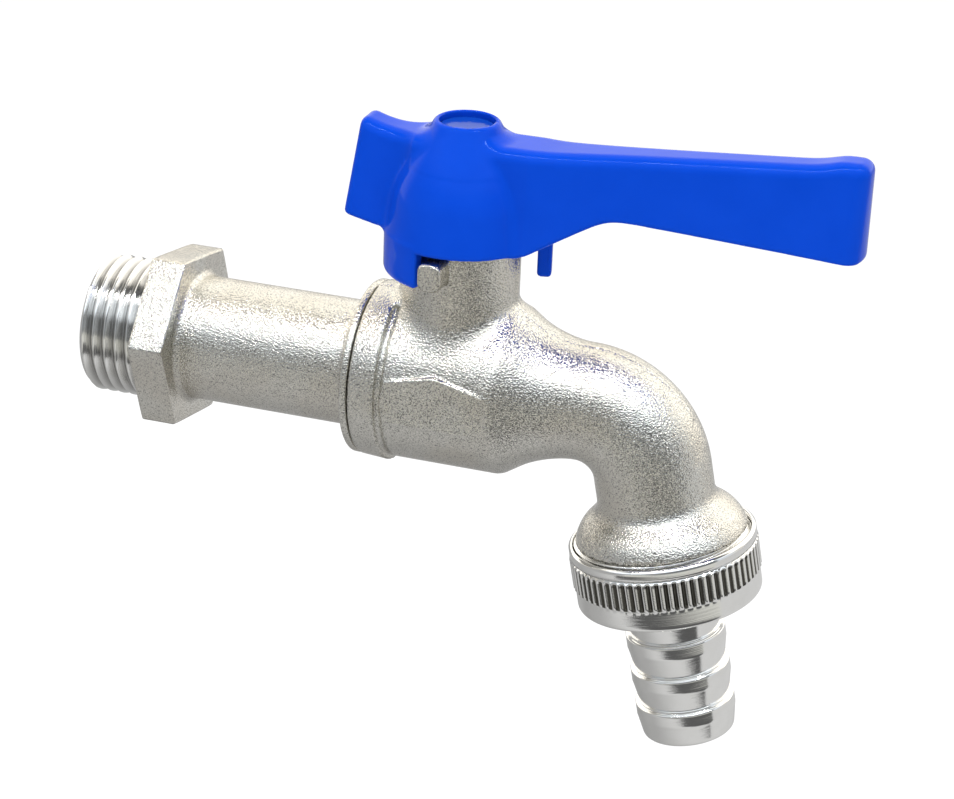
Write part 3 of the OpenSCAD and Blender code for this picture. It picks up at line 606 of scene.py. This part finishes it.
skin_margin, body_cell = 0.3, 0.36
body_points, body_faces = skin(body_form, body_low - skin_margin, body_high + skin_margin, body_cell)
body = make_piece("body_casting", body_points * mm, body_faces, casting)
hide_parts("body")
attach(body, "valve_body")


# Outlet thread
# The thread that the nut screws on, cut below the bell: seen when the nut is unscrewed.
outlet_crest, outlet_root, outlet_bore, outlet_length = 13.22, 12.1, 11.0, 4.6
screw_spacing, screw_columns = 0.11, 240
# Each point is (distance, radius, share of the thread)
screw_rows = even_points([(-0.3, outlet_bore, 0), (-0.1, outlet_root, 0), (0.5, outlet_crest, 1),
                          (outlet_length - 0.9, outlet_crest, 1), (outlet_length - 0.1, outlet_root, 0),
                          (outlet_length - 0.05, outlet_bore, 0)], screw_spacing)
screw_angle = np.linspace(0, 2 * np.pi, screw_columns, endpoint=False)[None, :]
screw_along, screw_radius, screw_share = (screw_rows[:, [i]] for i in range(3))
screw_depth = screw_share * (outlet_crest - outlet_root) * thread_groove(screw_along, screw_angle)
outlet_thread = turned_piece("outlet_thread", screw_along, screw_radius - screw_depth, screw_angle,
                             outlet, water, (0, 1, 0), cut_bright)
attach(outlet_thread, "valve_body")


# Lever
# One blue-lacquered casting: the long arm that swells to its end, the short wing, the domed hub with
# a boss round the hole, and two tabs that hang from its rim and stop it on the neck's lug.
def ramp(distance, softness=1.0):
    """0 before zero and the distance after it, with a soft turn between them"""
    return softness * np.logaddexp(0, distance / softness)


arm_tip, wing_tip, wing_tilt, tip_crown, draft = 58.28, 17.0, 0.128, 0.9, 0.11
arm_top, top_limit, lever_wall = 38.0, 42.15, 1.8
arm_climb_x, arm_climb, tip_swell_x, tip_swell, wing_swell_x, wing_swell = 14, 0.0865, 49, 0.03, -8.3, 0.031
under_climb_x, under_climb, under_fall_x, under_fall = 10.8, 0.59, 22.4, 0.635
wing_step_x, wing_step, wing_climb_x, wing_climb, wing_foot = -9, 0.7, -10.8, 0.235, 25.3
limit_softness, under_softness = 0.2, 0.3
arm_half_least, arm_spread, arm_spread_x, arm_spread_length = 2.9, 1.15, 15, 11
wing_half_least, wing_spread, wing_spread_x, wing_spread_length = 3.0, 1.2, -7, 1.6
half_most, tip_half = 4.6, 4.2
arm_edge, wing_edge, under_edge, hollow_reach, hollow_roof = 1.7, 1.3, 0.5, 11.8, 0.5
hub_low, hub_web, hub_hollow, hub_radius, hub_draft, hub_edge = 22.9, 26.4, 9.6, 11.5, 0.16, 0.35
dome_slope, dome_steepness, dome_radius, dome_edge, arm_fillet = 0.86, 1.32, 7.9, 3.5, 0.9
boss_radius, boss_slope, boss_top, boss_edge, boss_fillet = 4.6, 0.4, 40.1, 0.3, 2.0
screw_floor, screw_hole, hole_edge, square_half, square_middle, square_deep = 35.5, 4.0, 0.25, 3.05, 31, 6
tab_low, tab_high, tab_reach, tab_edge, stop_tab_foot, thin_tab_foot = 17.4, 24.6, 11.45, 0.4, 1.0, 0.7
stop_tab_from, stop_tab_to = np.radians([191.6, 252.6])
thin_tab_angle, thin_tab_in, thin_tab_out, thin_tab_half = np.radians(12.5), 10.95, 13.05, 1.1


def arm_half(x):
    """Half the lever's thickness at its top: it spreads towards the hub on both sides"""
    arm = arm_half_least + arm_spread * np.exp((arm_spread_x - x) / arm_spread_length)
    wing = wing_half_least + wing_spread * np.exp((np.minimum(x, 0) - wing_spread_x) / wing_spread_length)
    return np.minimum(np.where(x > 0, arm, wing), half_most)


def arm_form(x, y, z):
    """Distance to the arm and wing: a gently curved top, a bottom that climbs away from the hub, two
    drafted flanks and rounded ends, hollow below"""
    top = (arm_top + arm_climb * ramp(x - arm_climb_x) + tip_swell * ramp(x - tip_swell_x) ** 2
           + wing_swell * ramp(wing_swell_x - x) ** 2)
    top = top_limit - ramp(top_limit - top, limit_softness)
    low = (hub_low + under_climb * ramp(x - under_climb_x, under_softness)
           - under_fall * ramp(x - under_fall_x)
           + (wing_step + wing_climb * ramp(wing_climb_x - x)) * (x < wing_step_x))
    flank = np.abs(y) - arm_half(x) - draft * (top - z)
    tip = x - arm_tip + tip_crown * (y / tip_half) ** 2
    back_end = -wing_tip - x + wing_tilt * (z - wing_foot)
    solid = meet(meet(meet(flank, z - top, arm_edge), tip, arm_edge), back_end, wing_edge)
    solid = meet(solid, low - z, under_edge)
    inner_arm = np.maximum(hollow_reach - x, tip + lever_wall)
    inner_wing = np.maximum(x + hollow_reach, back_end + lever_wall)
    hollow = np.maximum(flank + lever_wall, z - top + lever_wall + hollow_roof)
    return np.maximum(solid, -np.maximum(hollow, np.minimum(inner_arm, inner_wing)))


def tabs_form(x, y, z):
    """Distance to the curved stop tab under the hub's rim, and to the thin tab under the arm"""
    ring = np.hypot(x, y)
    stop_side = np.maximum(x * np.sin(stop_tab_from) - y * np.cos(stop_tab_from),
                           y * np.cos(stop_tab_to) - x * np.sin(stop_tab_to))
    stop_tab = meet(np.maximum(ring - tab_reach, hub_hollow - ring), stop_side, tab_edge)
    stop_tab = meet(stop_tab, np.maximum(tab_low - z, z - tab_high), stop_tab_foot)
    out = x * np.cos(thin_tab_angle) + y * np.sin(thin_tab_angle)
    aside = np.abs(y * np.cos(thin_tab_angle) - x * np.sin(thin_tab_angle)) - thin_tab_half
    thin_tab = meet(aside, np.maximum(out - thin_tab_out, thin_tab_in - out), tab_edge)
    thin_tab = meet(thin_tab, tab_low - z, thin_tab_foot)
    return np.minimum(stop_tab, np.maximum(thin_tab, z - tab_high))


def lever_form(x, y, z):
    """Distance to the lever's skin: the domed hub with the arm, the wing, the boss and the tabs joined
    to it, and the hollow under it, the stem's square hole and the screw's round hole taken out"""
    x = x - stem_x
    ring = np.hypot(x, y)
    wall = ring - hub_radius + hub_draft * (z - hub_low)
    crown = ((z - screw_floor) + dome_slope * (ring - dome_radius)) / dome_steepness
    dome = meet(meet(wall, crown, dome_edge), hub_low - z, hub_edge)
    boss = meet(ring - boss_radius - boss_slope * (boss_top - z), z - boss_top, boss_edge)
    form = join(dome, arm_form(x, y, z), arm_fillet)
    form = join(form, np.maximum(boss, screw_floor - z), boss_fillet)
    form = np.minimum(form, tabs_form(x, y, z))
    under_hub = np.maximum(np.maximum(ring - hub_hollow, z - hub_web), hub_low - 1 - z)
    square = np.maximum(np.abs(x), np.abs(y)) - square_half
    square = np.maximum(square, np.abs(z - square_middle) - square_deep)
    hole = np.maximum(ring - screw_hole, screw_floor - z)
    return meet(np.maximum(form, -reduce(np.minimum, [under_hub, square, hole])), -hole, hole_edge)


def blue_gloss(name, first, second):
    """Thick blue lacquer: a deep even colour under a hard gloss with a faint orange peel"""
    finish = Finish(bpy.data.materials.new(name), {
        "IOR": 1.32, "Specular IOR Level": 0.25, "Specular Tint": (0.35, 0.6, 1, 1)})
    place = finish.place()
    finish.feed("Base Color", finish.mix(finish.noise(place, 6 * mm), (*first, 1), (*second, 1)))
    finish.feed("Roughness", 0.07 + 0.04 * finish.noise(place, 0.8 * mm, 3.0))
    finish.feed("Normal", finish.bump(finish.noise(place, 1.1 * mm, 1.0), 0.010 * mm))
    return finish.owner


lever_low, lever_high = (np.array(corner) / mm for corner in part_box("lever_handle"))
lever_cell = 0.3
lever_points, lever_faces = skin(lever_form, lever_low - skin_margin, lever_high + skin_margin, lever_cell)
lever = make_piece("lever_casting", lever_points * mm, lever_faces,
                   blue_gloss("lever_lacquer", (0.002, 0.055, 0.56), (0.004, 0.066, 0.63)))
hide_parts("lever_handle")
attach(lever, "lever")


# Handle cap
# The plain blue plug sunk in the hub's top hole: a slightly dished disc with a rounded rim.
cap_low, cap_high = (np.array(corner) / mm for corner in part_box("handle_cap"))
cap_radius = (cap_high[0] - cap_low[0]) / 2
cap_rim, cap_dish, cap_centre, cap_columns = 0.3, 0.15, 0.01, 96
# Each point is (height, radius)
cap_rows = np.array([(cap_low[2], cap_centre), (cap_low[2], 1.9), (cap_low[2], cap_radius - 0.1),
                     (cap_low[2] + 0.1, cap_radius)]
                    + round_corner((cap_high[2] - cap_rim, cap_radius - cap_rim), cap_rim, 90, 0, steps=5)
                    + [(cap_high[2] - 0.06, cap_radius - 0.8), (cap_high[2] - 0.12, 2.2),
                       (cap_high[2] - cap_dish, 1.0), (cap_high[2] - cap_dish, 0.05),
                       (cap_high[2] - cap_dish, cap_centre)])
cap_angle = np.linspace(0, 2 * np.pi, cap_columns, endpoint=False)[None, :]
cap = turned_piece("cap_plug", cap_rows[:, :1], cap_rows[:, 1:], cap_angle,
                   (stem_x, 0, 0), (0, 0, 1), (1, 0, 0),
                   blue_gloss("cap_plastic", (0.003, 0.045, 0.36), (0.005, 0.055, 0.42)))
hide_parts("handle_cap")
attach(cap, "lever")


# Union nut
# Turned brass, nickel-plated bright: a bevelled rim, a polished band, a straight knurl and a smooth
# lower band, with a lip inside its foot that pulls the hose tail up.
nut_radius, knurl_depth, knurl_teeth, knurl_sharpness, tooth_steps = 14.05, 0.45, 68, 1.5, 12
nut_top, knurl_top, knurl_foot, nut_floor, nut_foot = 0.25, 2.05, 6.8, 6.9, 10.03
nut_low_radius, nut_bore, nut_lip, nut_edge, nut_spacing = 13.75, 13.27, 7.75, 0.5, 0.45
# Each point is (distance, radius, share of the knurl)
nut_rows = even_points(
    [(nut_foot - 0.3, nut_lip, 0), (nut_floor, nut_lip, 0), (nut_floor, nut_bore, 0),
     (nut_top + 0.25, nut_bore, 0), (nut_top, nut_bore + 0.08, 0), (nut_top + 0.02, nut_bore + 0.25, 0),
     (nut_top + 0.08, nut_bore + 0.35, 0), (nut_top + 0.3, nut_radius - 0.2, 0),
     (nut_top + 0.4, nut_radius - 0.14, 0), (knurl_top - 0.15, nut_radius - 0.12, 0),
     (knurl_top - 0.1, nut_radius - 0.35, 0), (knurl_top, nut_radius - 0.36, 0),
     (knurl_top + 0.03, nut_radius - 0.33, 0), (knurl_top + 0.3, nut_radius - 0.04, 0),
     (knurl_top + 0.36, nut_radius, 0.3), (knurl_top + 0.5, nut_radius, 0.9),
     (knurl_foot - 0.2, nut_radius, 1), (knurl_foot - 0.02, nut_low_radius + 0.05, 0.15),
     (knurl_foot + 0.1, nut_low_radius, 0)]
    + round_corner((nut_foot - nut_edge, nut_low_radius - nut_edge), nut_edge, 90, 0, (0,))
    + [(nut_foot, nut_lip + 0.3, 0)], nut_spacing)
tooth = np.arange(tooth_steps) / tooth_steps
nut_turn = ((np.arange(knurl_teeth)[:, None] + tooth) / knurl_teeth).reshape(1, -1)
valley = np.tile((0.5 + 0.5 * np.cos(2 * np.pi * tooth)) ** knurl_sharpness, knurl_teeth)[None, :]
nut_along, nut_rim, nut_knurl = (nut_rows[:, [i]] for i in range(3))
polished = bright_nickel("polished_nut", water, 0.006, 0.93)
nut = turned_piece("knurled_nut", nut_along, nut_rim - nut_knurl * knurl_depth * valley,
                   2 * np.pi * nut_turn, outlet, water, (0, 1, 0), polished)
# The knurl's grooves get painted shade and a rougher finish
set_groove(nut, nut_knurl * valley)
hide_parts("union_nut")
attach(nut, "nut")


# Hose tail
# Turned from the same bar: a flange that the nut holds, a smooth neck, and three barbs for the hose,
# each a rounded step, a land and a long taper.
barb_crest, barb_root, hose_bore = 7.45, 6.75, 5.2
hose_flange_top, hose_flange, hose_flange_edge = 5.6, 11.7, 0.1
hose_tip, hose_tip_radius, hose_tip_edge, hose_spacing, hose_columns = 32.4, 6.95, 0.7, 0.3, 192
barb_starts = (16.5, 22.1, 27.7)
# Each point is (distance from the barb's start, radius)
barb_step = ((-0.82, barb_root), (-0.8, barb_root + 0.05), (-0.76, barb_crest - 0.08),
             (-0.7, barb_crest), (1.2, barb_crest), (1.35, barb_crest - 0.04))
hose_rows = even_points(
    [(hose_tip - 0.2, hose_bore), (hose_flange_top, hose_bore),
     (hose_flange_top, hose_flange - hose_flange_edge), (hose_flange_top + hose_flange_edge, hose_flange),
     (nut_floor - hose_flange_edge, hose_flange), (nut_floor, hose_flange - hose_flange_edge),
     (nut_floor, barb_crest), (nut_foot + 0.8, barb_crest), (nut_foot + 1, barb_crest - 0.05)]
    + [(start + s, r) for start in barb_starts for s, r in barb_step]
    + round_corner((hose_tip - hose_tip_edge, hose_tip_radius - hose_tip_edge), hose_tip_edge, 80, 0)
    + [(hose_tip, hose_bore + 0.2)], hose_spacing)
hose_angle = np.linspace(0, 2 * np.pi, hose_columns, endpoint=False)[None, :]
hose_tail = turned_piece("barbed_tail", hose_rows[:, :1], hose_rows[:, 1:], hose_angle,
                         outlet, water, (0, 1, 0), polished)
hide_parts("hose_tail")
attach(hose_tail, "hose_connector")


# Inner pieces
# The CAD's own ball, seats, carrier, stem, seals, gaskets, washers and screw: a plated ball between
# white seats, brass turned parts, black rubber seals and zinc-plated fixings.
def inner_finish(name, first, second, size, roughness, metallic):
    """A finish whose colour drifts between two over lumps of this size, and whose roughness drifts too"""
    finish = Finish(bpy.data.materials.new(name), {"Metallic": metallic})
    place = finish.place()
    finish.feed("Base Color", finish.mix(finish.noise(place, size, 3.0), (*first, 1), (*second, 1)))
    finish.feed("Roughness", roughness - 0.04 + 0.08 * finish.noise(place, size / 3))
    finish.feed("Normal", finish.bump(finish.noise(place, size / 8), 0.004 * mm))
    return finish.owner


rubber = inner_finish("black_rubber", (0.018, 0.018, 0.019), (0.03, 0.03, 0.031), 2 * mm, 0.55, 0.0)
ptfe = inner_finish("white_seal", (0.80, 0.80, 0.78), (0.86, 0.86, 0.85), 3 * mm, 0.42, 0.0)
brass = inner_finish("plain_brass", (0.62, 0.46, 0.20), (0.70, 0.54, 0.26), 4 * mm, 0.26, 1.0)
chrome = inner_finish("plated_ball", (0.70, 0.71, 0.72), (0.78, 0.78, 0.79), 5 * mm, 0.10, 1.0)
zinc = inner_finish("zinc_steel", (0.60, 0.61, 0.63), (0.68, 0.68, 0.70), 2 * mm, 0.28, 1.0)
inner = {rubber: ("joint_gasket", "carrier_o_ring", "stem_o_ring_lower", "stem_o_ring_upper",
                  "outlet_gasket"),
         ptfe: ("seat_inlet", "seat_outlet", "stem_thrust_washer"), brass: ("seat_carrier", "stem"),
         chrome: ("ball",), zinc: ("handle_lock_washer", "handle_screw")}
for material, nodes in inner.items():
    for node in nodes:
        frame["nodes"][node].material_slots[0].material = material


# Relief spring
# Curls of round wire between the inlet tail's shoulder and the seat carrier. In the tap they flatten
# against the shoulder as the carrier slides back; this mesh keeps one length.
spring_low, spring_high = (np.array(corner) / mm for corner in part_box("relief_spring"))
spring_length = spring_high[0] - spring_low[0]
wire_radius, wire_sides, spring_curls, curl_steps = 0.5, 14, 6, 40
curl = np.linspace(0, 1, curl_steps * spring_curls + 1)[:, None]
curl_turn = 2 * np.pi * spring_curls * curl
wire_angle = np.linspace(0, 2 * np.pi, wire_sides, endpoint=False)[None, :]
curl_radius = spring_high[1] - wire_radius * (1 - np.cos(wire_angle))
curl_along = spring_low[0] + wire_radius + (spring_length - 2 * wire_radius) * curl
spring_points = np.stack([curl_along - wire_radius * np.sin(wire_angle),
                          curl_radius * np.cos(curl_turn), curl_radius * np.sin(curl_turn)], -1)
near = np.arange(wire_sides // 2 - 1)
wire_end = np.stack([near, near + 1, wire_sides - 2 - near, wire_sides - 1 - near], 1)
spring_faces = np.concatenate([grid_faces(len(curl), wire_sides, False, True), wire_end[:, ::-1],
                               wire_end + (len(curl) - 1) * wire_sides])
steel = inner_finish("spring_steel", (0.42, 0.42, 0.43), (0.52, 0.52, 0.52), 1.5 * mm, 0.30, 1.0)
spring = make_piece("spring_wire", spring_points.reshape(-1, 3) * mm, spring_faces, steel)
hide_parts("relief_spring")
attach(spring, "valve_body")
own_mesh(spring)
